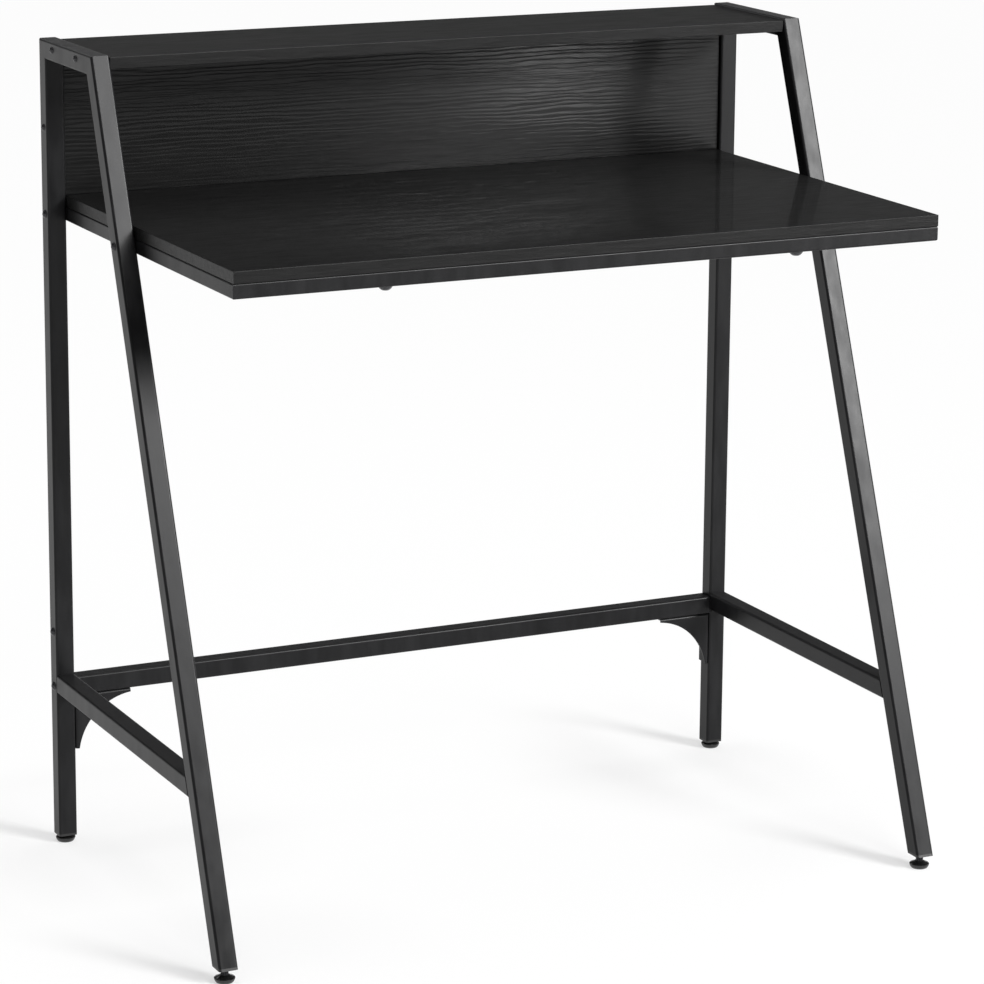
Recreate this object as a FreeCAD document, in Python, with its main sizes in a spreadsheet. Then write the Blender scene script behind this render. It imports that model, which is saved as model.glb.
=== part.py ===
# Writing desk: two welded side frames of square steel tube, a bolted under-frame that carries the
# desktop, a back board and a raised shelf.
# Axes: +X to the sitter's right, +Y to the back, +Z up. The origin is on the floor, under the
# middle of the desk's outline. Lengths are in millimetres.
import FreeCAD, Part
import math
import os
import Sketcher
from types import SimpleNamespace

doc = FreeCAD.newDocument("WritingDesk")
sheet = doc.addObject("Spreadsheet::Sheet", "Sizes")

driving_sizes = {
    # Outline of the desk
    "overall_width": 810,
    "overall_depth": 478,
    "frame_top_depth": 155,
    "front_leg_clearance": 15,
    "rear_post_clearance": 8,
    # Square tube of the side frames and the low stretchers
    "tube_side": 20,
    "tube_wall": 1.2,
    "tube_corner": 2.5,
    "side_stretcher_top_height": 188,
    "rear_stretcher_top_height": 184,
    # Pressed gussets under the ends of the rear stretcher
    "gusset_reach": 63,
    "gusset_drop": 60,
    "gusset_tip": 4,
    "gusset_foot": 4.5,
    "gusset_arc": 66,
    "gusset_sheet": 2,
    "gusset_bend": 3,
    "gusset_setback": 0.5,
    # Flat tube of the under-frame
    "rail_depth": 20,
    "rail_height": 15,
    "rail_wall": 1.2,
    "rail_corner": 2,
    "rail_inset": 1,
    # Boards and their edge bands
    "desktop_height": 702,
    "shelf_space": 148,
    "board_thickness": 12,
    "desktop_front_inset": 1,
    "desktop_rear_inset": 2,
    "board_side_gap": 0.5,
    "band_thickness": 1,
    "band_round": 0.6,
    "shelf_drop": 2,
    "shelf_rear_inset": 1,
    # Frame bolts, with their nuts and end plates
    "bolt_diameter": 5,
    "bolt_head_diameter": 9.4,
    "bolt_head_height": 2.7,
    "bolt_tip": 1,
    "bolt_overhang": 2,
    "nut_across_flats": 8,
    "nut_height": 4,
    "end_plate_thickness": 4,
    "end_plate_fit": 0.1,
    "spare_bolt_rise": 60,
    # Board screws
    "screw_diameter": 4,
    "screw_head_diameter": 7.6,
    "screw_head_height": 2.2,
    "screw_bite": 20,
    "screw_tip": 4,
    "shelf_screw_from_rear": 40,
    "shelf_screw_pitch": 70,
    "back_screw_rise_share": 0.48,
    # Mushroom-head bolts that hold the desktop, and their inserts
    "desk_bolt_diameter": 6,
    "desk_bolt_head_diameter": 15,
    "desk_bolt_head_height": 5.4,
    "desk_bolt_bite": 8,
    "desk_bolt_spacing": 450,
    "insert_diameter": 9,
    "insert_length": 10,
    # Levelling feet
    "pad_height": 7.5,
    "pad_diameter": 21,
    "pad_base_diameter": 16.4,
    "pad_shoulder_diameter": 15.6,
    "pad_neck_diameter": 10,
    "pad_widest_height": 3.8,
    "pad_rim": 0.8,
    "pad_shoulder_drop": 1.4,
    "pad_floor": 2,
    "stem_diameter": 8,
    "stem_reach": 14,
    "stem_chamfer": 0.8,
    "plug_flange": 2.5,
    "plug_length": 12.5,
    "plug_fit": 0.1,
    "front_foot_setback": 1.5,
    # Fits
    "bolt_hole_clearance": 0.2,
    "thread_clearance": 0.05,
    "cut_overrun": 5,
    "edge_tolerance": 0.001,
}
for row, (alias, number) in enumerate(driving_sizes.items(), 1):
    sheet.set(f"A{row}", alias)
    sheet.set(f"B{row}", str(number))
    sheet.setAlias(f"B{row}", alias)
doc.recompute()


class Size:
    """A length, slope or angle that carries its spreadsheet formula along with its present value."""

    def __init__(self, formula, value):
        self.formula = formula
        self.value = value

    def __add__(self, other):
        other = sized(other)
        return Size(f"({self.formula} + {other.formula})", self.value + other.value)

    def __sub__(self, other):
        other = sized(other)
        return Size(f"({self.formula} - {other.formula})", self.value - other.value)

    def __mul__(self, other):
        other = sized(other)
        return Size(f"({self.formula} * {other.formula})", self.value * other.value)

    def __truediv__(self, other):
        other = sized(other)
        return Size(f"({self.formula} / {other.formula})", self.value / other.value)

    def __neg__(self):
        return Size(f"(0 - {self.formula})", -self.value)


def sized(amount):
    return amount if isinstance(amount, Size) else Size(f"({amount})", float(amount))


def root(amount):
    return Size(f"sqrt({amount.formula})", math.sqrt(amount.value))


dim = SimpleNamespace()
for alias in driving_sizes:
    setattr(dim, alias, Size(f"{sheet.Name}.{alias}", float(sheet.get(alias))))

nowhere = sized(0)
parts = []


def bind(item, prop, amount):
    item.setExpression(prop, sized(amount).formula)


def new_body(label, solids=1):
    body = doc.addObject("PartDesign::Body", label)
    body.Label = label
    parts.append((body, solids))
    return body


def place(body, x, y, z, rotation=FreeCAD.Rotation()):
    body.Placement = FreeCAD.Placement(FreeCAD.Vector(), rotation)
    bind(body, "Placement.Base.x", x)
    bind(body, "Placement.Base.y", y)
    bind(body, "Placement.Base.z", z)


def origin_item(body, role):
    return next(item for item in body.Origin.OriginFeatures if item.Role == role)


def sketch_on(body, role, name, offset=None):
    sketch = body.newObject("Sketcher::SketchObject", name)
    sketch.AttachmentSupport = [(origin_item(body, role), "")]
    sketch.MapMode = "FlatFace"
    if offset is not None:
        bind(sketch, "AttachmentOffset.Base.z", offset)
    return sketch


def flat(point):
    return FreeCAD.Vector(sized(point[0]).value, sized(point[1]).value, 0)


def locate(sketch, geometry, vertex, point):
    for kind, amount in zip(("DistanceX", "DistanceY"), point):
        amount = sized(amount)
        rule = Sketcher.Constraint(kind, -1, 1, geometry, vertex, amount.value)
        bind(sketch, f"Constraints[{sketch.addConstraint(rule)}]", amount)


def outline(sketch, points, arcs=None):
    """Draw a closed outline; arcs maps the number of a curved side to the centre of its arc."""
    arcs = arcs or {}
    first = sketch.GeometryCount
    ends = []
    for number, start in enumerate(points):
        start = flat(start)
        finish = flat(points[(number + 1) % len(points)])
        if number not in arcs:
            sketch.addGeometry(Part.LineSegment(start, finish), False)
            ends.append((1, 2))
            continue
        centre = flat(arcs[number])
        circle = Part.Circle(centre, FreeCAD.Vector(0, 0, 1), start.distanceToPoint(centre))
        angles = [math.atan2(end.y - centre.y, end.x - centre.x) for end in (start, finish)]
        turn = (angles[1] - angles[0]) % (2 * math.pi)
        if turn <= math.pi:
            sketch.addGeometry(Part.ArcOfCircle(circle, angles[0], angles[0] + turn), False)
            ends.append((1, 2))
        else:
            sketch.addGeometry(Part.ArcOfCircle(circle, angles[1], angles[1] + 2 * math.pi - turn), False)
            ends.append((2, 1))
    for number, point in enumerate(points):
        following = (number + 1) % len(points)
        joint = (first + number, ends[number][1], first + following, ends[following][0])
        sketch.addConstraint(Sketcher.Constraint("Coincident", *joint))
        locate(sketch, first + number, ends[number][0], point)
    for number, centre in arcs.items():
        across = sized(points[number][0]) - centre[0]
        along = sized(points[number][1]) - centre[1]
        radius = root(across * across + along * along)
        rule = Sketcher.Constraint("Radius", first + number, radius.value)
        bind(sketch, f"Constraints[{sketch.addConstraint(rule)}]", radius)


def rectangle(sketch, half_x, half_y):
    outline(sketch, [(-half_x, -half_y), (half_x, -half_y), (half_x, half_y), (-half_x, half_y)])


def rounded_rectangle(sketch, half_x, half_y, corner):
    flat_x = half_x - corner
    flat_y = half_y - corner
    outline(sketch, [(-flat_x, -half_y), (flat_x, -half_y), (half_x, -flat_y), (half_x, flat_y),
                     (flat_x, half_y), (-flat_x, half_y), (-half_x, flat_y), (-half_x, -flat_y)],
            {1: (flat_x, -flat_y), 3: (flat_x, flat_y), 5: (-flat_x, flat_y), 7: (-flat_x, -flat_y)})


def circle(sketch, point, radius):
    up = FreeCAD.Vector(0, 0, 1)
    geometry = sketch.addGeometry(Part.Circle(flat(point), up, radius.value), False)
    locate(sketch, geometry, 3, point)
    rule = Sketcher.Constraint("Radius", geometry, radius.value)
    bind(sketch, f"Constraints[{sketch.addConstraint(rule)}]", radius)


def pad(body, sketch, length, name):
    feature = body.newObject("PartDesign::Pad", name)
    feature.Profile = sketch
    bind(feature, "Length", length)
    return feature


def pocket(body, sketch, name, length=None, forward=False):
    """Cut a sketch right through, or by a length: forward is along the sketch's normal."""
    feature = body.newObject("PartDesign::Pocket", name)
    feature.Profile = sketch
    if length is None:
        feature.SideType = "Two sides"
        feature.Type = "ThroughAll"
        feature.Type2 = "ThroughAll"
    else:
        bind(feature, "Length", length)
        feature.Reversed = forward
    doc.recompute()
    if feature.Shape.Volume >= feature.BaseFeature.Shape.Volume:
        raise RuntimeError(f"{body.Label}: {name} removes nothing")
    return feature


def revolve(body, sketch, axis, name):
    feature = body.newObject("PartDesign::Revolution", name)
    feature.Profile = sketch
    feature.ReferenceAxis = (sketch, [axis])
    feature.Angle = 360
    return feature


def fillet(body, base, radius, name, chosen):
    """Round the edges of base for which chosen(middle, direction) holds."""
    doc.recompute()
    names = []
    for number, edge in enumerate(base.Shape.Edges, 1):
        direction = edge.tangentAt(edge.FirstParameter)
        if isinstance(edge.Curve, Part.Line) and chosen(edge.CenterOfMass, direction):
            names.append(f"Edge{number}")
    if not names:
        raise RuntimeError(f"{body.Label}: {name} finds no edge")
    feature = body.newObject("PartDesign::Fillet", name)
    feature.Base = (base, names)
    bind(feature, "Radius", radius)
    return feature


def same(first, second):
    return abs(first - second.value) < dim.edge_tolerance.value


def round_long_edges(body, base, half_x, half_y, radius, name, axis):
    """Round the four edges that run along a prism of the given half width, half depth and axis."""
    def on_corner(middle, direction):
        slip = FreeCAD.Vector(middle).sub(FreeCAD.Vector(axis).multiply(middle.z / axis.z))
        along = abs(direction.dot(axis)) / axis.Length
        return along > math.cos(math.radians(1)) and same(abs(slip.x), half_x) and same(abs(slip.y), half_y)
    return fillet(body, base, radius, name, on_corner)


def copies(body, feature, mirrored=False, row_x=None, row_y=None):
    """Repeat a feature across the desk's middle plane and in a row along X or Y."""
    steps = []
    group = body.newObject("PartDesign::MultiTransform", "places")
    group.Originals = [feature]
    if mirrored:
        mirror = body.newObject("PartDesign::Mirrored", "other_side")
        mirror.MirrorPlane = (origin_item(body, "YZ_Plane"), [""])
        steps.append(mirror)
    for role, span in (("X_Axis", row_x), ("Y_Axis", row_y)):
        if span is not None:
            row = body.newObject("PartDesign::LinearPattern", "row_" + role[0].lower())
            row.Direction = (origin_item(body, role), [""])
            row.Occurrences = 2
            bind(row, "Length", span)
            steps.append(row)
    group.Transformations = steps
    body.Tip = group


def tube(label, width, depth, wall, corner, length, start=(0, 0), end=(0, 0)):
    """A tube along its own +Z, cut at each end by a slanted plane that crosses its Y faces.

    start and end give how far the -Y face and the +Y face stop short of the full length."""
    body = new_body(label)
    half_x = width / 2
    half_y = depth / 2
    section = sketch_on(body, "XY_Plane", "section")
    rounded_rectangle(section, half_x, half_y, corner)
    rounded_rectangle(section, half_x - wall, half_y - wall, corner - wall)
    pad(body, section, length, "stock")
    over = dim.cut_overrun
    for name, base, sign, setbacks in (("start_cut", nowhere, 1, start), ("end_cut", length, -1, end)):
        low = sized(setbacks[0])
        high = sized(setbacks[1])
        if low.value == high.value == 0:
            continue
        slope = (high - low) / depth
        side = half_y + over
        beyond = base - over * 3 * sign
        cut = sketch_on(body, "YZ_Plane", name)
        outline(cut, [(-side, base + (low - slope * over) * sign),
                      (side, base + (high + slope * over) * sign),
                      (side, beyond), (-side, beyond)])
        pocket(body, cut, name + "_off")
    return body


# Directions that tubes and rails run in, as turns of their own +Z
world = SimpleNamespace(x=FreeCAD.Vector(1, 0, 0), y=FreeCAD.Vector(0, 1, 0), z=FreeCAD.Vector(0, 0, 1))
to_back = FreeCAD.Rotation(world.x, -world.z, world.y, "ZXY")
front_rail_turn = FreeCAD.Rotation(world.z, -world.y, world.x, "ZXY")
rear_rail_turn = FreeCAD.Rotation(world.z, world.y, -world.x, "ZXY")
left_rail_turn = FreeCAD.Rotation(world.z, -world.x, -world.y, "ZXY")
right_rail_turn = FreeCAD.Rotation(world.z, world.x, world.y, "ZXY")

# Planes and lines that several pieces share
half_tube = dim.tube_side / 2
rear_y = dim.overall_depth / 2
front_y = -rear_y
side_x = dim.overall_width / 2
frame_x = side_x - half_tube
inner_x = side_x - dim.tube_side
post_y = rear_y - half_tube
frame_front_y = rear_y - dim.frame_top_depth
side_stretcher_z = dim.side_stretcher_top_height - half_tube
rear_stretcher_z = dim.rear_stretcher_top_height - half_tube
spare_bolt_z = rear_stretcher_z + dim.spare_bolt_rise
board_half = inner_x - dim.board_side_gap
desktop_bottom = dim.desktop_height - dim.board_thickness
rail_z = desktop_bottom - dim.rail_height / 2
shelf_bottom = dim.desktop_height + dim.shelf_space
shelf_middle = shelf_bottom + dim.board_thickness / 2
frame_top = shelf_bottom + dim.board_thickness + dim.shelf_drop
back_screw_rise = dim.shelf_space * dim.back_screw_rise_share
back_screw_z = dim.desktop_height + back_screw_rise
rail_front_y = front_y + dim.desktop_front_inset + dim.rail_inset
rail_rear_y = rear_y - dim.desktop_rear_inset - dim.rail_inset
bolt_hole = dim.bolt_diameter / 2 + dim.bolt_hole_clearance
screw_hole = dim.screw_diameter / 2 + dim.bolt_hole_clearance
pilot_hole = dim.screw_diameter / 2 + dim.thread_clearance
nut_hole = dim.bolt_diameter / 2 + dim.thread_clearance

# The front leg leans back: its front face runs from the toe to the front top corner of the frame
lean_run = dim.overall_depth - dim.frame_top_depth
lean_rise = frame_top - dim.front_leg_clearance
lean_length = root(lean_run * lean_run + lean_rise * lean_rise)
lean_slope = lean_run / lean_rise
lean_sine = lean_run / lean_length
lean_cosine = lean_rise / lean_length
leg_cut_z = dim.front_leg_clearance + dim.plug_flange
leg_cut_y = front_y + dim.plug_flange * lean_slope
leg_start_y = leg_cut_y + half_tube * lean_cosine
leg_start_z = leg_cut_z - half_tube * lean_sine
leg_length = (frame_top - leg_cut_z) / lean_cosine
# The mitre between leg and top rail halves their angle, so both inner faces stop short alike
mitre_setback = dim.tube_side * (lean_length - lean_run) / lean_rise
leg_bolt_along = (rail_z - leg_start_z) / lean_cosine
leg_bolt_y = leg_start_y + leg_bolt_along * lean_sine
shelf_screw_y = rear_y - dim.shelf_screw_from_rear - dim.shelf_screw_pitch


# Side frames: four tubes each, welded at mitred or butted ends
square = (dim.tube_side, dim.tube_side, dim.tube_wall, dim.tube_corner)
post_start_z = dim.rear_post_clearance + dim.plug_flange
post_length = frame_top - post_start_z
stretcher_bottom = dim.side_stretcher_top_height - dim.tube_side
stretcher_front_y = leg_cut_y + (stretcher_bottom - leg_cut_z) * lean_slope + dim.tube_side / lean_cosine
stretcher_length = rear_y - dim.tube_side - stretcher_front_y
for side, sign in (("left", -1), ("right", 1)):
    post = tube(f"{side}_rear_post", *square, post_length, end=(dim.tube_side, 0))
    holes = sketch_on(post, "YZ_Plane", "through_holes")
    circle(holes, (0, rail_z - post_start_z), bolt_hole)
    circle(holes, (0, rear_stretcher_z - post_start_z), bolt_hole)
    circle(holes, (0, back_screw_z - post_start_z), screw_hole)
    pocket(post, holes, "drilled_through")
    spare = sketch_on(post, "YZ_Plane", "spare_hole")
    circle(spare, (0, spare_bolt_z - post_start_z), bolt_hole)
    pocket(post, spare, "drilled_outer_wall", half_tube + dim.cut_overrun, forward=sign > 0)
    place(post, frame_x * sign, post_y, post_start_z)

    rail = tube(f"{side}_top_rail", *square, dim.frame_top_depth,
                start=(0, mitre_setback), end=(0, dim.tube_side))
    holes = sketch_on(rail, "YZ_Plane", "shelf_screw_holes")
    for y in (shelf_screw_y, shelf_screw_y + dim.shelf_screw_pitch):
        circle(holes, (frame_top - half_tube - shelf_middle, y - frame_front_y), screw_hole)
    pocket(rail, holes, "drilled_through")
    place(rail, frame_x * sign, frame_front_y, frame_top - half_tube, to_back)

    leg = tube(f"{side}_front_leg", *square, leg_length,
               start=(0, dim.tube_side * lean_slope), end=(0, mitre_setback))
    holes = sketch_on(leg, "YZ_Plane", "under_frame_bolt_hole")
    circle(holes, (0, leg_bolt_along), bolt_hole)
    pocket(leg, holes, "drilled_through")
    place(leg, frame_x * sign, leg_start_y, leg_start_z, FreeCAD.Rotation(-world.x, 1))
    leg.setExpression("Placement.Rotation.Angle", f"atan({lean_slope.formula})")

    brace = tube(f"{side}_side_stretcher", *square, stretcher_length,
                 start=(dim.tube_side * lean_slope, 0))
    place(brace, frame_x * sign, stretcher_front_y, side_stretcher_z, to_back)

# Rear stretcher between the posts, closed at each end by a threaded plate that takes its bolt
rear_stretcher = tube("rear_stretcher", *square, inner_x * 2)
place(rear_stretcher, -inner_x, post_y, rear_stretcher_z, front_rail_turn)

end_plates = new_body("stretcher_end_plates", 2)
face = sketch_on(end_plates, "YZ_Plane", "plate", inner_x - dim.end_plate_thickness)
plate_half = half_tube - dim.tube_wall - dim.end_plate_fit
rounded_rectangle(face, plate_half, plate_half, dim.tube_corner - dim.tube_wall)
circle(face, (0, 0), nut_hole)
copies(end_plates, pad(end_plates, face, dim.end_plate_thickness, "threaded_plate"), mirrored=True)
place(end_plates, 0, post_y, rear_stretcher_z)


# Corner gussets: one pressing each, a web with a concave arc between two flanges bent back
def gusset(side, sign):
    body = new_body(f"{side}_gusset")
    flange_depth = dim.tube_side - dim.gusset_setback * 2
    web = sketch_on(body, "XZ_Plane", "web_outline")
    foot_x = dim.gusset_foot * -sign
    tip_x = dim.gusset_reach * -sign
    span = dim.gusset_reach - dim.gusset_foot
    fall = dim.gusset_drop - dim.gusset_tip
    centre_share = root(dim.gusset_arc * dim.gusset_arc / (span * span + fall * fall) - 0.25)
    centre_x = (dim.gusset_reach + dim.gusset_foot) / 2 + fall * centre_share
    centre_z = -(dim.gusset_drop + dim.gusset_tip) / 2 - span * centre_share
    corners = [(0, 0), (tip_x, 0), (tip_x, -dim.gusset_tip), (foot_x, -dim.gusset_drop),
               (0, -dim.gusset_drop)]
    outline(web, corners, {2: (centre_x * -sign, centre_z)})
    pad(body, web, flange_depth, "blank")
    hollow = sketch_on(body, "XZ_Plane", "between_flanges")
    near_x = dim.gusset_sheet * -sign
    far_x = (dim.gusset_reach + dim.cut_overrun) * -sign
    low_z = -dim.gusset_drop - dim.cut_overrun
    outline(hollow, [(near_x, -dim.gusset_sheet), (far_x, -dim.gusset_sheet),
                     (far_x, low_z), (near_x, low_z)])
    formed = pocket(body, hollow, "formed_hollow", flange_depth - dim.gusset_sheet, forward=True)

    def outer_bend(middle, direction):
        top_bend = same(middle.z, nowhere) and abs(direction.x) == 1
        side_bend = same(middle.x, nowhere) and abs(direction.z) == 1
        return same(middle.y, -flange_depth) and (top_bend or side_bend)
    fillet(body, formed, dim.gusset_bend, "bends", outer_bend)
    place(body, inner_x * sign, rear_y - dim.gusset_setback, dim.rear_stretcher_top_height - dim.tube_side)


gusset("left", -1)
gusset("right", 1)

# Under-frame: four flat tubes mitred at the corners, bolted between the legs and the posts
flat_tube = (dim.rail_height, dim.rail_depth, dim.rail_wall, dim.rail_corner)
mitred = {"start": (dim.rail_depth, 0), "end": (dim.rail_depth, 0)}
desk_bolt_hole = dim.desk_bolt_diameter / 2 + dim.bolt_hole_clearance
front_rail_y = rail_front_y + dim.rail_depth / 2
rear_rail_y = rail_rear_y - dim.rail_depth / 2
side_rail_x = inner_x - dim.rail_depth / 2
rail_span = rail_rear_y - rail_front_y
for label, turn, end_x, y in (("desk_front_rail", front_rail_turn, -inner_x, front_rail_y),
                              ("desk_rear_rail", rear_rail_turn, inner_x, rear_rail_y)):
    rail = tube(label, *flat_tube, inner_x * 2, **mitred)
    holes = sketch_on(rail, "YZ_Plane", "desk_bolt_holes")
    for sign in (-1, 1):
        circle(holes, (0, inner_x + dim.desk_bolt_spacing / 2 * sign), desk_bolt_hole)
    pocket(rail, holes, "drilled_through")
    place(rail, end_x, y, rail_z, turn)
for label, turn, sign in (("left_desk_rail", left_rail_turn, -1), ("right_desk_rail", right_rail_turn, 1)):
    rail = tube(label, *flat_tube, rail_span, **mitred)
    holes = sketch_on(rail, "XZ_Plane", "frame_bolt_holes")
    start_y = rail_front_y if sign > 0 else rail_rear_y
    for y in (leg_bolt_y, post_y):
        circle(holes, (0, (y - start_y) * sign), bolt_hole)
    pocket(rail, holes, "drilled_outer_wall", dim.rail_depth / 2 + dim.cut_overrun)
    place(rail, side_rail_x * sign, start_y, rail_z, turn)


# Boards: black panels with a plastic band round the edges that show
def board(label, half_y, band_label=None):
    """A panel with its underside at its own Z = 0, and the band that wraps round it."""
    band = dim.band_thickness if band_label else nowhere
    body = new_body(label)
    face = sketch_on(body, "XY_Plane", "panel")
    rectangle(face, board_half - band, half_y - band)
    pad(body, face, dim.board_thickness, "panel_thickness")
    if not band_label:
        return body, None
    wrap = new_body(band_label)
    ring = sketch_on(wrap, "XY_Plane", "band")
    rectangle(ring, board_half, half_y)
    rectangle(ring, board_half - band, half_y - band)
    strip = pad(wrap, ring, dim.board_thickness, "band_height")
    fillet(wrap, strip, dim.band_round, "eased_arrises",
           lambda middle, direction: direction.z == 0 and (same(abs(middle.x), board_half)
                                                           or same(abs(middle.y), half_y)))
    return body, wrap


def end_pilots(body, points, depth):
    """Screw holes drilled into both ends of a panel."""
    holes = sketch_on(body, "YZ_Plane", "pilot_holes", board_half + dim.cut_overrun)
    for point in points:
        circle(holes, point, pilot_hole)
    drilled = pocket(body, holes, "pilots", depth + dim.cut_overrun)
    mirror = body.newObject("PartDesign::Mirrored", "other_end")
    mirror.Originals = [drilled]
    mirror.MirrorPlane = (origin_item(body, "YZ_Plane"), [""])
    body.Tip = mirror


desktop_front_y = front_y + dim.desktop_front_inset
desktop_rear_y = rear_y - dim.desktop_rear_inset
desktop_y = (desktop_front_y + desktop_rear_y) / 2
desktop, desktop_band = board("desktop_board", (desktop_rear_y - desktop_front_y) / 2, "desktop_edge_band")
sockets = sketch_on(desktop, "XY_Plane", "insert_sockets")
for y in (front_rail_y, rear_rail_y):
    for sign in (-1, 1):
        circle(sockets, (dim.desk_bolt_spacing / 2 * sign, y - desktop_y),
               dim.insert_diameter / 2 + dim.thread_clearance)
pocket(desktop, sockets, "insert_sockets_drilled", dim.insert_length, forward=True)
for body in (desktop, desktop_band):
    place(body, 0, desktop_y, desktop_bottom)

shelf_rear_y = rear_y - dim.shelf_rear_inset
shelf_y = (frame_front_y + shelf_rear_y) / 2
shelf, shelf_band = board("top_shelf", (shelf_rear_y - frame_front_y) / 2, "shelf_edge_band")
shelf_pilots = [(y - shelf_y, dim.board_thickness / 2)
                for y in (shelf_screw_y, shelf_screw_y + dim.shelf_screw_pitch)]
end_pilots(shelf, shelf_pilots, dim.screw_bite)
band_holes = sketch_on(shelf_band, "YZ_Plane", "screw_holes")
for point in shelf_pilots:
    circle(band_holes, point, pilot_hole)
pocket(shelf_band, band_holes, "screw_holes_drilled")
for body in (shelf, shelf_band):
    place(body, 0, shelf_y, shelf_bottom)

# The back board stands on the desktop between the posts and reaches up to the shelf
back_board = new_body("back_board")
face = sketch_on(back_board, "XZ_Plane", "panel", -dim.board_thickness / 2)
outline(face, [(-board_half, 0), (board_half, 0), (board_half, dim.shelf_space),
               (-board_half, dim.shelf_space)])
pad(back_board, face, dim.board_thickness, "panel_thickness")
end_pilots(back_board, [(0, back_screw_rise)], dim.screw_bite)
place(back_board, 0, post_y, dim.desktop_height)


# Fasteners: turned profiles with a domed head, drawn out along one axis
def headed_profile(face, out, shank_end, shank, head, height, tip):
    """Half profile along the first axis: face is under the head and out (1 or -1) points to the dome."""
    dome = (head * head + height * height) / (height * 2)
    points = [(shank_end, 0), (shank_end + tip * out, shank), (face, shank), (face, head),
              (face + height * out, 0)]
    return points, {3: (face + (height - dome) * out, 0)}


def side_fasteners(label, count, shank_length, sizes, y, z, row_y=None):
    """Bolts or screws driven in from the outer faces of both side frames."""
    body = new_body(label, count)
    profile = sketch_on(body, "XY_Plane", "profile")
    points, arcs = headed_profile(side_x, 1, side_x - shank_length, *sizes)
    outline(profile, points, arcs)
    turned = revolve(body, profile, "H_Axis", "turned")
    copies(body, turned, mirrored=True, row_y=row_y)
    place(body, 0, y, z)


bolt = (dim.bolt_diameter / 2, dim.bolt_head_diameter / 2, dim.bolt_head_height, dim.bolt_tip)
screw = (dim.screw_diameter / 2, dim.screw_head_diameter / 2, dim.screw_head_height, dim.screw_tip)
screw_length = dim.tube_side + dim.board_side_gap + dim.screw_bite
frame_bolt_length = dim.tube_side + dim.rail_wall + dim.nut_height + dim.bolt_overhang
stretcher_bolt_length = dim.tube_side + dim.end_plate_thickness + dim.bolt_overhang
spare_bolt_length = dim.tube_wall + dim.nut_height + dim.bolt_overhang
bolt_row = post_y - leg_bolt_y
side_fasteners("desk_frame_bolts", 4, frame_bolt_length, bolt, leg_bolt_y, rail_z, bolt_row)
side_fasteners("stretcher_bolts", 2, stretcher_bolt_length, bolt, post_y, rear_stretcher_z)
side_fasteners("spare_hole_bolts", 2, spare_bolt_length, bolt, post_y, spare_bolt_z)
side_fasteners("shelf_screws", 4, screw_length, screw, shelf_screw_y, shelf_middle, dim.shelf_screw_pitch)
side_fasteners("back_board_screws", 2, screw_length, screw, post_y, back_screw_z)


def inner_nuts(label, count, seat_x, y, z, row_y=None):
    """Hexagon nuts welded on the inside of a tube wall."""
    body = new_body(label, count)
    face = sketch_on(body, "YZ_Plane", "hexagon", seat_x - dim.nut_height)
    half_flat = dim.nut_across_flats / 2
    corner = dim.nut_across_flats / math.sqrt(3)
    outline(face, [(half_flat, -corner / 2), (half_flat, corner / 2), (0, corner),
                   (-half_flat, corner / 2), (-half_flat, -corner / 2), (0, -corner)])
    circle(face, (0, 0), nut_hole)
    copies(body, pad(body, face, dim.nut_height, "nut"), mirrored=True, row_y=row_y)
    place(body, 0, y, z)


inner_nuts("desk_rail_nuts", 4, inner_x - dim.rail_wall, leg_bolt_y, rail_z, bolt_row)
inner_nuts("spare_hole_nuts", 2, side_x - dim.tube_wall, post_y, spare_bolt_z)

# Mushroom-head bolts come up through the front and rear rails into inserts in the desktop
desk_bolt_row = rear_rail_y - front_rail_y
rail_bottom = desktop_bottom - dim.rail_height
mushroom = (dim.desk_bolt_diameter / 2, dim.desk_bolt_head_diameter / 2, dim.desk_bolt_head_height,
            dim.bolt_tip)
desk_bolts = new_body("desktop_bolts", 4)
profile = sketch_on(desk_bolts, "XZ_Plane", "profile")
points, arcs = headed_profile(nowhere, -1, dim.rail_height + dim.desk_bolt_bite, *mushroom)
outline(profile, [point[::-1] for point in points], {number: centre[::-1] for number, centre in arcs.items()})
turned = revolve(desk_bolts, profile, "V_Axis", "turned")
copies(desk_bolts, turned, row_x=dim.desk_bolt_spacing, row_y=desk_bolt_row)
place(desk_bolts, -dim.desk_bolt_spacing / 2, front_rail_y, rail_bottom)

inserts = new_body("desktop_inserts", 4)
face = sketch_on(inserts, "XY_Plane", "sleeve")
circle(face, (0, 0), dim.insert_diameter / 2)
circle(face, (0, 0), dim.desk_bolt_diameter / 2 + dim.thread_clearance)
copies(inserts, pad(inserts, face, dim.insert_length, "sleeve_length"),
       row_x=dim.desk_bolt_spacing, row_y=desk_bolt_row)
place(inserts, -dim.desk_bolt_spacing / 2, front_rail_y, desktop_bottom)


# Levelling feet: a plug in the tube's end with a threaded bore, a screwed stem and a round pad
def plug(label, x, y, z, depth_stretch, lean, bore_y):
    """Plug with a flange as wide as the tube; lean is its drift along +Y for each unit of height."""
    body = new_body(label)
    axis = FreeCAD.Vector(0, lean.value, 1)
    stages = (("flange", half_tube, dim.tube_corner, dim.plug_flange),
              ("plug", half_tube - dim.tube_wall - dim.plug_fit, dim.tube_corner - dim.tube_wall,
               dim.plug_flange + dim.plug_length))
    for name, half, corner, height in stages:
        face = sketch_on(body, "XY_Plane", name + "_section")
        rectangle(face, half, half * depth_stretch)
        stage = pad(body, face, height, name)
        stage.UseCustomVector = True
        stage.AlongSketchNormal = True
        stage.Direction = axis
        bind(stage, "Direction.y", lean)
        round_long_edges(body, stage, half, half * depth_stretch, corner, name + "_corners", axis)
    bore = sketch_on(body, "XY_Plane", "threaded_bore")
    circle(bore, (0, bore_y), dim.stem_diameter / 2 + dim.thread_clearance)
    pocket(body, bore, "bored_through")
    place(body, x, y, z)


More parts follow.
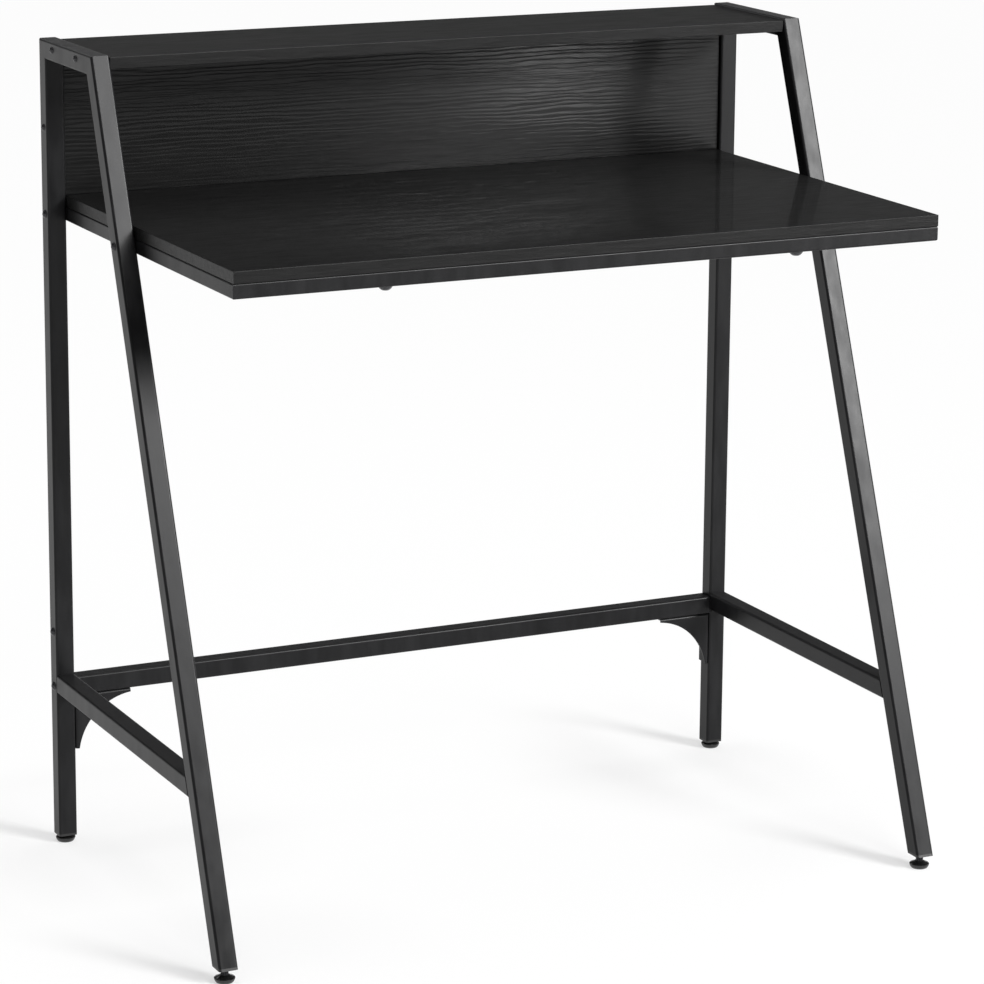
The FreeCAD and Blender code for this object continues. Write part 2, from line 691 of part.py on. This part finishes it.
def foot(name, x, y):
    """The pad and the stem that turns with it, standing on the floor at x, y."""
    pad_body = new_body(f"{name}_foot_pad")
    half_section = sketch_on(pad_body, "XZ_Plane", "half_section")
    base = dim.pad_base_diameter / 2
    widest = dim.pad_diameter / 2
    neck = dim.pad_neck_diameter / 2
    bore = dim.stem_diameter / 2 + dim.thread_clearance
    rim_top = dim.pad_widest_height + dim.pad_rim
    shoulder = (dim.pad_shoulder_diameter / 2, dim.pad_height - dim.pad_shoulder_drop)
    outline(half_section, [(0, 0), (base, 0), (widest, dim.pad_widest_height), (widest, rim_top), shoulder,
                           (neck, dim.pad_height), (bore, dim.pad_height), (bore, dim.pad_floor),
                           (0, dim.pad_floor)])
    revolve(pad_body, half_section, "V_Axis", "turned")
    place(pad_body, x, y, 0)
    stem = new_body(f"{name}_foot_stem")
    half_section = sketch_on(stem, "XZ_Plane", "half_section")
    radius = dim.stem_diameter / 2
    low = dim.pad_floor + dim.thread_clearance
    top = dim.pad_height + dim.stem_reach
    tip = radius - dim.stem_chamfer
    outline(half_section, [(0, low), (radius, low), (radius, top - dim.stem_chamfer), (tip, top), (0, top)])
    revolve(stem, half_section, "V_Axis", "turned")
    place(stem, x, y, 0)


toe_y = front_y + half_tube / lean_cosine
front_foot_y = toe_y + dim.front_foot_setback
for side, sign in (("left", -1), ("right", 1)):
    plug(f"{side}_leg_plug", frame_x * sign, toe_y, dim.front_leg_clearance,
         sized(1) / lean_cosine, lean_slope, dim.front_foot_setback)
    plug(f"{side}_post_plug", frame_x * sign, post_y, dim.rear_post_clearance,
         sized(1), nowhere, nowhere)
    foot(f"{side}_front", frame_x * sign, front_foot_y)
    foot(f"{side}_rear", frame_x * sign, post_y)

doc.recompute()
for item in doc.Objects:
    if "Invalid" in item.State or "Error" in item.State:
        raise RuntimeError(f"{item.Label} failed: {item.State}")
for body, solids in parts:
    shape = body.Shape
    if shape.isNull() or not shape.isValid() or len(shape.Solids) != solids:
        raise RuntimeError(f"{body.Label} has no sound shape")
os.makedirs("parts", exist_ok=True)
for body, solids in parts:
    body.Shape.exportStep(f"parts/{body.Label}.step")
print(f"{len(parts)} pieces written")
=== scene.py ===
import math

import bmesh
import bpy
from mathutils import Matrix, Vector


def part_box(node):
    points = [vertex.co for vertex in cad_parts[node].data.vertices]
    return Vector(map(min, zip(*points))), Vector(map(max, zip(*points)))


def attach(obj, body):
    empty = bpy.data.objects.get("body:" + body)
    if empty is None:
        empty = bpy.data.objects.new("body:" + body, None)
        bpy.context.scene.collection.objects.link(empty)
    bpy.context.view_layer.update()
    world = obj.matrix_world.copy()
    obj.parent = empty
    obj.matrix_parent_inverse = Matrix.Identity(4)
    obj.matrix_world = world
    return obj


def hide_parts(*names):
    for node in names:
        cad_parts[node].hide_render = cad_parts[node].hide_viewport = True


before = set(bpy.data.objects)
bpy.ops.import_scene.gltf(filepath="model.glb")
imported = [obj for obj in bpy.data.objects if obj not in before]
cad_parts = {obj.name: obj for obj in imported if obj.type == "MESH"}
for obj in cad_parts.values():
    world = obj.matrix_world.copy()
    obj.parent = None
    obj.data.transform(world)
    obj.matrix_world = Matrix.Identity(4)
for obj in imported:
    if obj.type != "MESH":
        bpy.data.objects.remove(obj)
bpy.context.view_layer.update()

# Side frames: two welded frames of 20 mm square steel tube, each with a rear post, a slanted front leg,
# a short top rail and a low side stretcher. The mitres and butt joints are welded, ground where they
# show, and the whole frame is powder coated after welding.
MM = 0.001
quarter = math.pi / 2
leg_slope = 0.3804


def linear(hex_colour):
    """Turns an sRGB hex colour into the linear RGBA that the shader sockets take."""
    channels = [int(hex_colour[i:i + 2], 16) / 255 for i in (1, 3, 5)]
    return [c / 12.92 if c <= 0.04045 else ((c + 0.055) / 1.055) ** 2.4 for c in channels] + [1]


def add(tree, kind, inputs=None, **settings):
    """Adds a node, with its settings, and sets or links its inputs."""
    node = tree.nodes.new(kind)
    for name, value in settings.items():
        setattr(node, name, value)
    for socket, value in (inputs or {}).items():
        if isinstance(value, bpy.types.NodeSocket):
            tree.links.new(value, node.inputs[socket])
        else:
            node.inputs[socket].default_value = value
    return node


def blank_material(name):
    """A new material with an empty node tree and its Object coordinates."""
    material = bpy.data.materials.new(name)
    material.use_nodes = True
    tree = material.node_tree
    tree.nodes.clear()
    return material, tree, add(tree, "ShaderNodeTexCoord").outputs["Object"]


def two_tone(tree, pattern, *stops):
    """A colour that runs with the pattern between two stops, each a place on the ramp and an sRGB colour."""
    tone = add(tree, "ShaderNodeValToRGB", {"Fac": pattern})
    for element, (position, hex_colour) in zip(tone.color_ramp.elements, stops):
        element.position = position
        element.color = linear(hex_colour)
    return tone.outputs["Color"]


def noise(tree, place, size, detail, **more):
    """A noise whose marks are about as large as the size, in metres."""
    marks = add(tree, "ShaderNodeTexNoise", {"Vector": place, "Scale": 1 / size, "Detail": detail, **more})
    return marks.outputs["Fac"]


def spread(tree, pattern, low, high):
    """A value from low to high over the middle of a noise's range, where nearly all of it lies."""
    ramp = add(tree, "ShaderNodeMapRange",
               {"Value": pattern, "From Min": 0.3, "From Max": 0.7, "To Min": low, "To Max": high})
    return ramp.outputs["Result"]


def relief(tree, height, strength, depth):
    """The normal of a surface that the height map lifts by the depth, in metres."""
    bump = add(tree, "ShaderNodeBump", {"Height": height, "Strength": strength, "Distance": depth})
    return bump.outputs["Normal"]


def surface(tree, inputs):
    """Ends the tree with one surface shader."""
    shader = add(tree, "ShaderNodeBsdfPrincipled", inputs)
    add(tree, "ShaderNodeOutputMaterial", {"Surface": shader.outputs["BSDF"]})


def powder_coat(name, turn=(0, 0, 0)):
    """Satin black powder coat on steel: a fine orange peel breaks up the highlights, and faint streaks and
    rub marks along the tube make some stretches a little paler and duller. turn lays the streaks along Z."""
    streak_width, streak_squeeze = 14 * MM, 0.22
    # The real peel is about 0.6 mm across; it is drawn at 1.6 mm so that a pixel can show it.
    drawn_peel, peel_depth = 1.6 * MM, 0.04 * MM
    material, tree, place = blank_material(name)
    along = add(tree, "ShaderNodeMapping",
                {"Vector": place, "Rotation": turn, "Scale": (1, 1, streak_squeeze)})
    rubs = noise(tree, along.outputs["Vector"], streak_width, 3, Roughness=0.55)
    peel = noise(tree, place, drawn_peel, 1)
    surface(tree, {"Base Color": two_tone(tree, rubs, (0.35, "#151516"), (0.72, "#1f1f20")),
                   "Roughness": spread(tree, rubs, 0.28, 0.37),
                   "Normal": relief(tree, peel, 0.35, peel_depth), "Specular IOR Level": 0.17})
    return material


def finish_nodes(material, *names):
    """Gives CAD pieces their finish."""
    for name in names:
        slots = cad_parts[name].data.materials
        slots.clear()
        slots.append(material)


upright_coat = powder_coat("powder_coated_steel_upright")
slanted_coat = powder_coat("powder_coated_steel_slanted", (math.atan(leg_slope), 0, 0))
fore_aft_coat = powder_coat("powder_coated_steel_fore_and_aft", (quarter, 0, 0))
for side in ("left", "right"):
    finish_nodes(upright_coat, f"{side}_rear_post")
    finish_nodes(slanted_coat, f"{side}_front_leg")
    finish_nodes(fore_aft_coat, f"{side}_top_rail", f"{side}_side_stretcher")

# Rear stretcher and gussets: a square steel tube bolted between the rear posts, with a corner bracket under
# each end. The brackets are pressed from 2 mm sheet, with a concave edge and bent flanges, and coated black.
cross_coat = powder_coat("powder_coated_steel_across", (0, quarter, 0))
finish_nodes(cross_coat, "rear_stretcher")
finish_nodes(upright_coat, "left_gusset", "right_gusset")

# Under-frame: four flat steel tubes, mitred and welded at the corners and powder coated. It is bolted between
# the posts and the legs, and the desktop lies on it.
finish_nodes(fore_aft_coat, "left_desk_rail", "right_desk_rail")
finish_nodes(cross_coat, "desk_front_rail", "desk_rear_rail")

# Desktop and shelf: 12 mm chipboard faced with black melamine, with an edge band of the same black glued round
# it. The press plate leaves a fine oak grain along the length; the shelf is the duller of the two.


def melamine(name, depth, dullness, level, resin, resin_dullness=0.09, waves=0):
    """Black melamine on chipboard, pressed with an oak grain: long shallow pores across the light give short
    bright ticks. The clear resin on top mirrors the legs faintly over the broad sheen of the paper under it.
    waves adds even ridges along the grain."""
    grain_squeeze, pore_pitch, ridge_pitch, press_depth = 0.11, 4.5 * MM, 4.5 * MM, 0.6 * MM
    # The wave texture repeats every pi / 10 units of its own space.
    ridge_scale = math.pi / (10 * ridge_pitch)
    material, tree, place = blank_material(name)
    along = add(tree, "ShaderNodeMapping", {"Vector": place, "Scale": (grain_squeeze, 1, 1)}).outputs["Vector"]
    ridges = add(tree, "ShaderNodeTexWave",
                 {"Vector": along, "Scale": ridge_scale, "Distortion": 7, "Detail": 3, "Detail Scale": 1.5},
                 bands_direction="Z").outputs["Fac"]
    pores = noise(tree, along, pore_pitch, 3, Roughness=0.6, Distortion=0.6)
    grain = add(tree, "ShaderNodeMix", {"Factor": waves, "A": pores, "B": ridges}).outputs["Result"]
    pressed = relief(tree, grain, depth, press_depth)
    surface(tree, {"Base Color": two_tone(tree, pores, (0.3, "#121212"), (0.75, "#1c1c1c")),
                   "Roughness": spread(tree, pores, dullness + 0.06, dullness), "Normal": pressed,
                   "Specular IOR Level": level, "Coat Weight": resin, "Coat Roughness": resin_dullness,
                   "Coat IOR": 1.45, "Coat Normal": pressed})
    return material


finish_nodes(melamine("fine_grain_black_melamine", 0.015, 0.46, 0.05, 0.3, 0.03), "desktop_board")
finish_nodes(melamine("dull_fine_grain_black_melamine", 0.03, 0.46, 0.05, 0.12, 0.14), "top_shelf")
edge_band = melamine("grained_black_edge_band", 0.6, 0.34, 0.16, 0)
finish_nodes(edge_band, "desktop_edge_band", "shelf_edge_band")

# Side bolts and screws: button heads with a hexagon socket, driven in from the outer faces of the side
# frames. They are steel, turned and headed, then plated black.
bolt_sizes = {"head": 4.7, "height": 2.7, "shank": 2.5, "flats": 2}
screw_sizes = {"head": 3.8, "height": 2.2, "shank": 2, "flats": 1.6}
side_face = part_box("right_rear_post")[1].x


def turned(profile, steps):
    """Spins a half profile, given in mm as (radius, height) pairs, about the Z axis."""
    shape = bmesh.new()
    corners = [shape.verts.new((radius * MM, 0, height * MM)) for radius, height in profile]
    edges = [shape.edges.new(pair) for pair in zip(corners, corners[1:])]
    bmesh.ops.spin(shape, geom=corners + edges, axis=(0, 0, 1), cent=(0, 0, 0), angle=2 * math.pi,
                   steps=steps, use_merge=True)
    bmesh.ops.remove_doubles(shape, verts=shape.verts, dist=0.001 * MM)
    return shape


def socket_bolt(head, height, shank, length, flats):
    """A button-head bolt on the Z axis in mm: the head sits on z = 0 and the shank runs down from it. head
    and shank are radii, and flats is the width of the hexagon socket."""
    spin_steps, dome_steps, flat_cuts, tip_bevel = 36, 7, 5, 1
    rim_share, tip_share, socket_share = 0.66, 0.7, 0.35
    ring = rim_share * flats
    ball = (head * head + height * height) / (2 * height)
    widths = [ring + (head - ring) * step / dome_steps for step in range(dome_steps + 1)]
    dome = [(width, math.sqrt(ball * ball - width * width) - ball + height) for width in widths]
    stem = [(shank, 0), (shank, tip_bevel - length), (tip_share * shank, -length), (0, -length)]
    shape = turned(dome + stem, spin_steps)
    crown = dome[0][1]
    rim = [edge for edge in shape.edges if edge.is_boundary]
    bmesh.ops.create_circle(shape, radius=flats / math.sqrt(3) * MM, segments=6,
                            matrix=Matrix.Translation((0, 0, crown * MM)))
    hexagon = [edge for edge in shape.edges if edge.is_wire]
    bmesh.ops.subdivide_edges(shape, edges=hexagon, cuts=flat_cuts)
    lip = [edge for edge in shape.edges if edge.is_wire]
    bmesh.ops.bridge_loops(shape, edges=rim + lip)
    wall = bmesh.ops.extrude_edge_only(shape, edges=lip)["geom"]
    bmesh.ops.translate(shape, verts=[part for part in wall if isinstance(part, bmesh.types.BMVert)],
                        vec=(0, 0, -socket_share * crown * MM))
    bmesh.ops.holes_fill(shape, edges=[part for part in wall if isinstance(part, bmesh.types.BMEdge)])
    bmesh.ops.recalc_face_normals(shape, faces=shape.faces)
    return shape


def many(shape, places):
    """One mesh with a copy of the shape at each place."""
    group = bmesh.new()
    for place in places:
        single = bpy.data.meshes.new("single")
        shape.to_mesh(single)
        single.transform(place)
        group.from_mesh(single)
        bpy.data.meshes.remove(single)
    shape.free()
    return group


def piece(name, shape, material, body, slot, *nodes, smooth_below=32):
    """Makes the finished piece, smooth where it bends less than smooth_below degrees, hangs it on its body
    and hides the CAD pieces that it replaces."""
    mesh = bpy.data.meshes.new(name)
    for face in shape.faces:
        face.smooth = True
    shape.to_mesh(mesh)
    shape.free()
    mesh.set_sharp_from_angle(angle=math.radians(smooth_below))
    mesh.materials.append(material)
    made = bpy.data.objects.new(name, mesh)
    bpy.context.collection.objects.link(made)
    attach(made, body)
    if nodes:
        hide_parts(*nodes)


def plated(name, dark, light, rough, metallic):
    """Plated steel or brass: a thin bright skin over the turned metal, a little cloudy from the bath, with
    fine handling scuffs that spread the highlights."""
    cloud_size, scuff_depth = 3 * MM, 0.05 * MM
    material, tree, place = blank_material(name)
    cloud = noise(tree, place, cloud_size, 4)
    surface(tree, {"Base Color": two_tone(tree, cloud, (0.3, dark), (0.7, light)),
                   "Roughness": spread(tree, cloud, rough - 0.05, rough + 0.07), "Metallic": metallic,
                   "Normal": relief(tree, cloud, 0.2, scuff_depth)})
    return material


def side_fastener(node, length, head, height, shank, flats):
    """Replaces a CAD group of side fasteners, found from its own box, on both side frames. Sizes in mm."""
    low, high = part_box(node)
    rows = sorted({round(low.y / MM + head, 3), round(high.y / MM - head, 3)})
    middle = (low.z + high.z) / 2
    outward = {-1: Matrix.Rotation(math.pi, 4, "Z") @ Matrix.Rotation(quarter, 4, "Y"),
               1: Matrix.Rotation(quarter, 4, "Y")}
    places = [Matrix.Translation((sign * side_face, row * MM, middle)) @ outward[sign]
              for sign in (-1, 1) for row in rows]
    shape = socket_bolt(head, height, shank, length, flats)
    piece(node + "_detail", many(shape, places), black_plate, "frame", "black_fastener", node)


black_plate = plated("black_zinc_plated_steel", "#2a2a2c", "#3c3c3f", 0.24, 0.35)
for node, length in (("desk_frame_bolts", 27.2), ("stretcher_bolts", 26), ("spare_hole_bolts", 7.2)):
    side_fastener(node, length, **bolt_sizes)
for node, length in (("shelf_screws", 40.5), ("back_board_screws", 40.5)):
    side_fastener(node, length, **screw_sizes)

# Back board: a 12 mm panel that stands on the desktop between the posts and stops under the shelf. Its
# melamine has the deepest grain, and its arrises are eased.
eased_arris = 0.5 * MM
board_low, board_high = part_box("back_board")
panel = bmesh.new()
bmesh.ops.create_cube(panel, size=1, matrix=Matrix.Translation((board_low + board_high) / 2)
                      @ Matrix.Diagonal((*(board_high - board_low), 1)))
bmesh.ops.bevel(panel, geom=panel.edges[:], offset=eased_arris, offset_type="OFFSET", segments=3, profile=0.5,
                affect="EDGES", material=-1)
embossed = melamine("embossed_black_melamine", 0.58, 0.38, 0.09, 0.5, 0.24, 0.4)
piece("back_board_detail", panel, embossed, "frame", "board_laminate", "back_board", smooth_below=20)

# Desktop bolts: large mushroom heads under the front and rear rails, screwed up into brass inserts in the
# desktop. Steel, plated black.
mushroom_head, mushroom_shank, mushroom_flats = 7.5, 3, 5
low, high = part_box("desktop_bolts")
rail_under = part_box("desk_front_rail")[0].z
mushroom = socket_bolt(mushroom_head, (rail_under - low.z) / MM, mushroom_shank, (high.z - rail_under) / MM,
                       mushroom_flats)
head_down = Matrix.Rotation(math.pi, 4, "X")
inset = mushroom_head * MM
spots = [Matrix.Translation((x, y, rail_under)) @ head_down
         for x in (low.x + inset, high.x - inset) for y in (low.y + inset, high.y - inset)]
piece("desktop_bolts_detail", many(mushroom, spots), black_plate, "frame", "black_fastener", "desktop_bolts")

# Nuts, end plates and inserts: hidden inside the tubes and the desktop. The nuts and plates are zinc plated
# steel, welded in; the inserts are turned brass, screwed into the chipboard.
finish_nodes(plated("bright_zinc_plated_steel", "#a3a6aa", "#c3c6c9", 0.32, 1),
             "desk_rail_nuts", "spare_hole_nuts", "stretcher_end_plates")
finish_nodes(plated("turned_brass", "#a8874a", "#c6a462", 0.3, 1), "desktop_inserts")

# Weld beads: short fillets under the ends of the side stretchers, where they meet the post and the leg.
# Each is a row of overlapping ripples of weld metal under the same powder coat.
ripple_radius, bead_end_gap, bead_drop = 1.8 * MM, 3 * MM, 0.3 * MM
off_post, off_leg = 0.3 * MM, 0.4 * MM
ripple_pitch_share, ripple_width_share = 0.55, 0.75


def weld_bead(shape, start, end):
    """Lays ripples of weld metal from start to end."""
    run = Vector(end) - Vector(start)
    count = round(run.length / (ripple_pitch_share * ripple_radius))
    for number in range(count + 1):
        place = (Matrix.Translation(Vector(start) + run * number / count)
                 @ Matrix.Diagonal((ripple_width_share * ripple_radius, ripple_radius, ripple_radius, 1)))
        bmesh.ops.create_icosphere(shape, subdivisions=2, radius=1, matrix=place)


for side in ("left", "right"):
    post_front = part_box(f"{side}_rear_post")[0].y
    stretcher_low, stretcher_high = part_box(f"{side}_side_stretcher")
    near, far = stretcher_low.x + bead_end_gap, stretcher_high.x - bead_end_gap
    under = stretcher_low.z - bead_drop
    beads = bmesh.new()
    for row in (post_front - off_post, stretcher_low.y + off_leg):
        weld_bead(beads, (near, row, under), (far, row, under))
    piece(f"{side}_stretcher_welds", beads, upright_coat, "frame", "frame_steel")

# Tube plugs: square inserts moulded in black polyethylene, pressed into the lower ends of the legs and posts.
# Their threaded bores carry the levelling feet.


def moulded(name, dark, light, rough, level):
    """Moulded black plastic: even and slightly waxy, with a faint cloud of flow marks in its gloss."""
    flow_size, flow_depth = 6 * MM, 0.05 * MM
    material, tree, place = blank_material(name)
    flow = noise(tree, place, flow_size, 3)
    surface(tree, {"Base Color": two_tone(tree, flow, (0, dark), (1, light)),
                   "Roughness": spread(tree, flow, rough - 0.04, rough + 0.06),
                   "Normal": relief(tree, flow, 0.15, flow_depth), "Specular IOR Level": level})
    return material


finish_nodes(moulded("moulded_black_polyethylene", "#1b1b1b", "#262626", 0.42, 0.45),
             "left_leg_plug", "right_leg_plug", "left_post_plug", "right_post_plug")

# Levelling feet: a glossy nylon pad moulded round the head of a steel stem with an M8 thread, which screws up
# or down in the plug. The stem is plated black. Sizes in mm.
pad_profile = [(0, 0), (7.9, 0), (8.6, 0.35), (9.6, 1.7), (10.25, 3.1), (10.5, 4.2), (10.42, 4.75), (10, 5.15),
               (7.4, 6.2), (5.7, 6.95), (5.2, 7.35), (4.9, 7.5), (4.05, 7.5), (4.05, 2), (0, 2)]
pad_steps = 56
thread_pitch, thread_root, thread_crest, turn_steps = 1.25, 3.4, 4, 24
thread_turn = [(thread_root, 0), (thread_root, 0.16), (thread_crest, 0.55), (thread_crest, 0.71),
               (thread_root, 1.1), (thread_root, thread_pitch)]
nylon = moulded("glossy_moulded_nylon", "#101010", "#191919", 0.2, 0.6)


def threaded_stem(bottom, top):
    """A length of M8 thread from bottom to top, in mm, cut flat at both ends."""
    shape = bmesh.new()
    spare_turns, merge_gap = 3, 0.005 * MM
    turns = math.ceil((top - bottom) / thread_pitch) + spare_turns
    start = bottom - spare_turns / 2 * thread_pitch
    corners = [shape.verts.new((radius * MM, 0, (start + height) * MM)) for radius, height in thread_turn]
    edges = [shape.edges.new(pair) for pair in zip(corners, corners[1:])]
    bmesh.ops.spin(shape, geom=corners + edges, axis=(0, 0, 1), cent=(0, 0, 0), angle=2 * math.pi * turns,
                   steps=turns * turn_steps, dvec=(0, 0, thread_pitch / turn_steps * MM))
    bmesh.ops.remove_doubles(shape, verts=shape.verts, dist=merge_gap)
    for height, way in ((bottom, -1), (top, 1)):
        cut = bmesh.ops.bisect_plane(shape, geom=shape.verts[:] + shape.edges[:] + shape.faces[:],
                                     plane_co=(0, 0, height * MM), plane_no=(0, 0, way), clear_outer=True)
        ring = [edge for edge in cut["geom_cut"] if isinstance(edge, bmesh.types.BMEdge)]
        bmesh.ops.holes_fill(shape, edges=ring)
    bmesh.ops.recalc_face_normals(shape, faces=shape.faces)
    return shape


for foot in ("left_front", "left_rear", "right_front", "right_rear"):
    low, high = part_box(f"{foot}_foot_pad")
    stem_low, stem_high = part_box(f"{foot}_foot_stem")
    spot = Matrix.Translation(((low.x + high.x) / 2, (low.y + high.y) / 2, 0))
    pad_shape = turned(pad_profile, pad_steps)
    bmesh.ops.recalc_face_normals(pad_shape, faces=pad_shape.faces)
    piece(f"{foot}_pad_detail", many(pad_shape, [spot]), nylon, f"{foot}_pad", "foot_plastic",
          f"{foot}_foot_pad")
    stem_shape = threaded_stem(stem_low.z / MM, stem_high.z / MM)
    piece(f"{foot}_stem_detail", many(stem_shape, [spot]), black_plate, f"{foot}_stem", "stem_steel",
          f"{foot}_foot_stem")

# Studio floor: a plain white sweep that turns up far away. The camera and the reflections see it as white
# paper, and it keeps a part of the desk's shadow, most of it near the feet.
sweep_radius, sweep_rise, sweep_sides = 40, 4, 64
foot_place, shadow_near, shadow_far = (0.395, 0.228, 0), 0.03, 0.3
floor_mesh = bpy.data.meshes.new("studio_floor")
floor_shape = bmesh.new()
bmesh.ops.create_circle(floor_shape, cap_ends=True, radius=sweep_radius, segments=sweep_sides)
rim = bmesh.ops.extrude_edge_only(floor_shape, edges=floor_shape.edges[:])["geom"]
bmesh.ops.translate(floor_shape, verts=[part for part in rim if isinstance(part, bmesh.types.BMVert)],
                    vec=(0, 0, sweep_rise))
floor_shape.to_mesh(floor_mesh)
floor_shape.free()
floor = bpy.data.objects.new("studio_floor", floor_mesh)
bpy.context.collection.objects.link(floor)
paper, tree, place = blank_material("white_sweep_paper")
matte = add(tree, "ShaderNodeBsdfDiffuse", {"Color": linear("#f6f6f6")}).outputs[0]
glow = add(tree, "ShaderNodeEmission", {"Color": (1, 1, 1, 1), "Strength": 1}).outputs[0]
quadrant = add(tree, "ShaderNodeVectorMath", {0: place}, operation="ABSOLUTE").outputs["Vector"]
from_foot = add(tree, "ShaderNodeVectorMath", {0: quadrant, 1: foot_place},
                operation="DISTANCE").outputs["Value"]
shadow_share = add(tree, "ShaderNodeMapRange",
                   {"Value": from_foot, "From Min": shadow_near, "From Max": shadow_far, "To Min": 0.42,
                    "To Max": 0.03}, interpolation_type="SMOOTHSTEP").outputs["Result"]
white_floor = add(tree, "ShaderNodeMixShader", {"Fac": shadow_share, 1: glow, 2: matte}).outputs[0]
path = add(tree, "ShaderNodeLightPath").outputs
seen = path["Is Camera Ray"]
for ray in ("Is Glossy Ray", "Is Transmission Ray"):
    seen = add(tree, "ShaderNodeMath", {0: seen, 1: path[ray]}, operation="MAXIMUM").outputs[0]
both = add(tree, "ShaderNodeMixShader", {"Fac": seen, 1: matte, 2: white_floor}).outputs[0]
add(tree, "ShaderNodeOutputMaterial", {"Surface": both})
floor_mesh.materials.append(paper)

# Studio light: a dim even room, a key softbox far off at the front right, a low one under it that gives the
# back board its sheen, weaker ones at the left and the front, one overhead and one behind for the rims.
world = bpy.data.worlds.new("studio_room")
bpy.context.scene.world = world
world.use_nodes = True
tree = world.node_tree
tree.nodes.clear()
room = add(tree, "ShaderNodeBackground", {"Color": (1, 1, 1, 1), "Strength": 0.1})
add(tree, "ShaderNodeOutputWorld", {"Surface": room.outputs[0]})


def softbox(name, position, target, width, height, radiance):
    """A rectangular area lamp that faces the target, all in metres, with the radiance of its own face."""
    lamp = bpy.data.lights.new(name, "AREA")
    lamp.shape = "RECTANGLE"
    lamp.size = width
    lamp.size_y = height
    lamp.energy = radiance * math.pi * width * height
    holder = bpy.data.objects.new(name, lamp)
    holder.location = position
    aim = Vector(target) - Vector(position)
    holder.rotation_mode = "QUATERNION"
    holder.rotation_quaternion = aim.to_track_quat("-Z", "Y")
    holder.visible_camera = False
    bpy.context.collection.objects.link(holder)


softbox("key_softbox", (3.38, -5.2, 3.75), (0.3, 0, 0.6), 1.7, 2, 50)
softbox("left_fill_softbox", (-2.4, -0.6, 2.3), (0, 0, 0.7), 1.4, 1.2, 0.5)
softbox("front_fill_softbox", (0.25, -1.9, 2.05), (0, 0, 0.7), 0.9, 0.9, 7)
softbox("overhead_softbox", (0, 0.2, 3.2), (0, 0.2, 0), 2.6, 2.6, 2.8)
softbox("rim_softbox", (-0.5, 2.64, 2.1), (0, 0, 0.6), 1.4, 0.5, 1.3)
softbox("low_right_softbox", (2.5, -3.3, 0.5), (0.36, 0.2, 0.78), 0.5, 0.6, 14)

# Camera: the photograph's view, from the front left and a little above.
camera_place = Vector((-1.7023, -3.5036, 1.3748))
yaw, pitch, roll = 0.45204, -0.22716, -0.00763
ahead = Vector((math.sin(yaw) * math.cos(pitch), math.cos(yaw) * math.cos(pitch), math.sin(pitch)))
level_right = Vector((math.cos(yaw), -math.sin(yaw), 0))
level_down = ahead.cross(level_right)
image_right = level_right * math.cos(roll) + level_down * math.sin(roll)
image_down = level_down * math.cos(roll) - level_right * math.sin(roll)
view_axes = Matrix((image_right, -image_down, -ahead)).transposed()
lens = bpy.data.cameras.new("photo_camera")
lens.sensor_width = 36
lens.lens = 140.912
lens.shift_y = -0.07317
camera = bpy.data.objects.new("photo_camera", lens)
camera.matrix_world = Matrix.Translation(camera_place) @ view_axes.to_4x4()
bpy.context.collection.objects.link(camera)
bpy.context.scene.camera = camera

bpy.context.scene.view_settings.view_transform = "Standard"
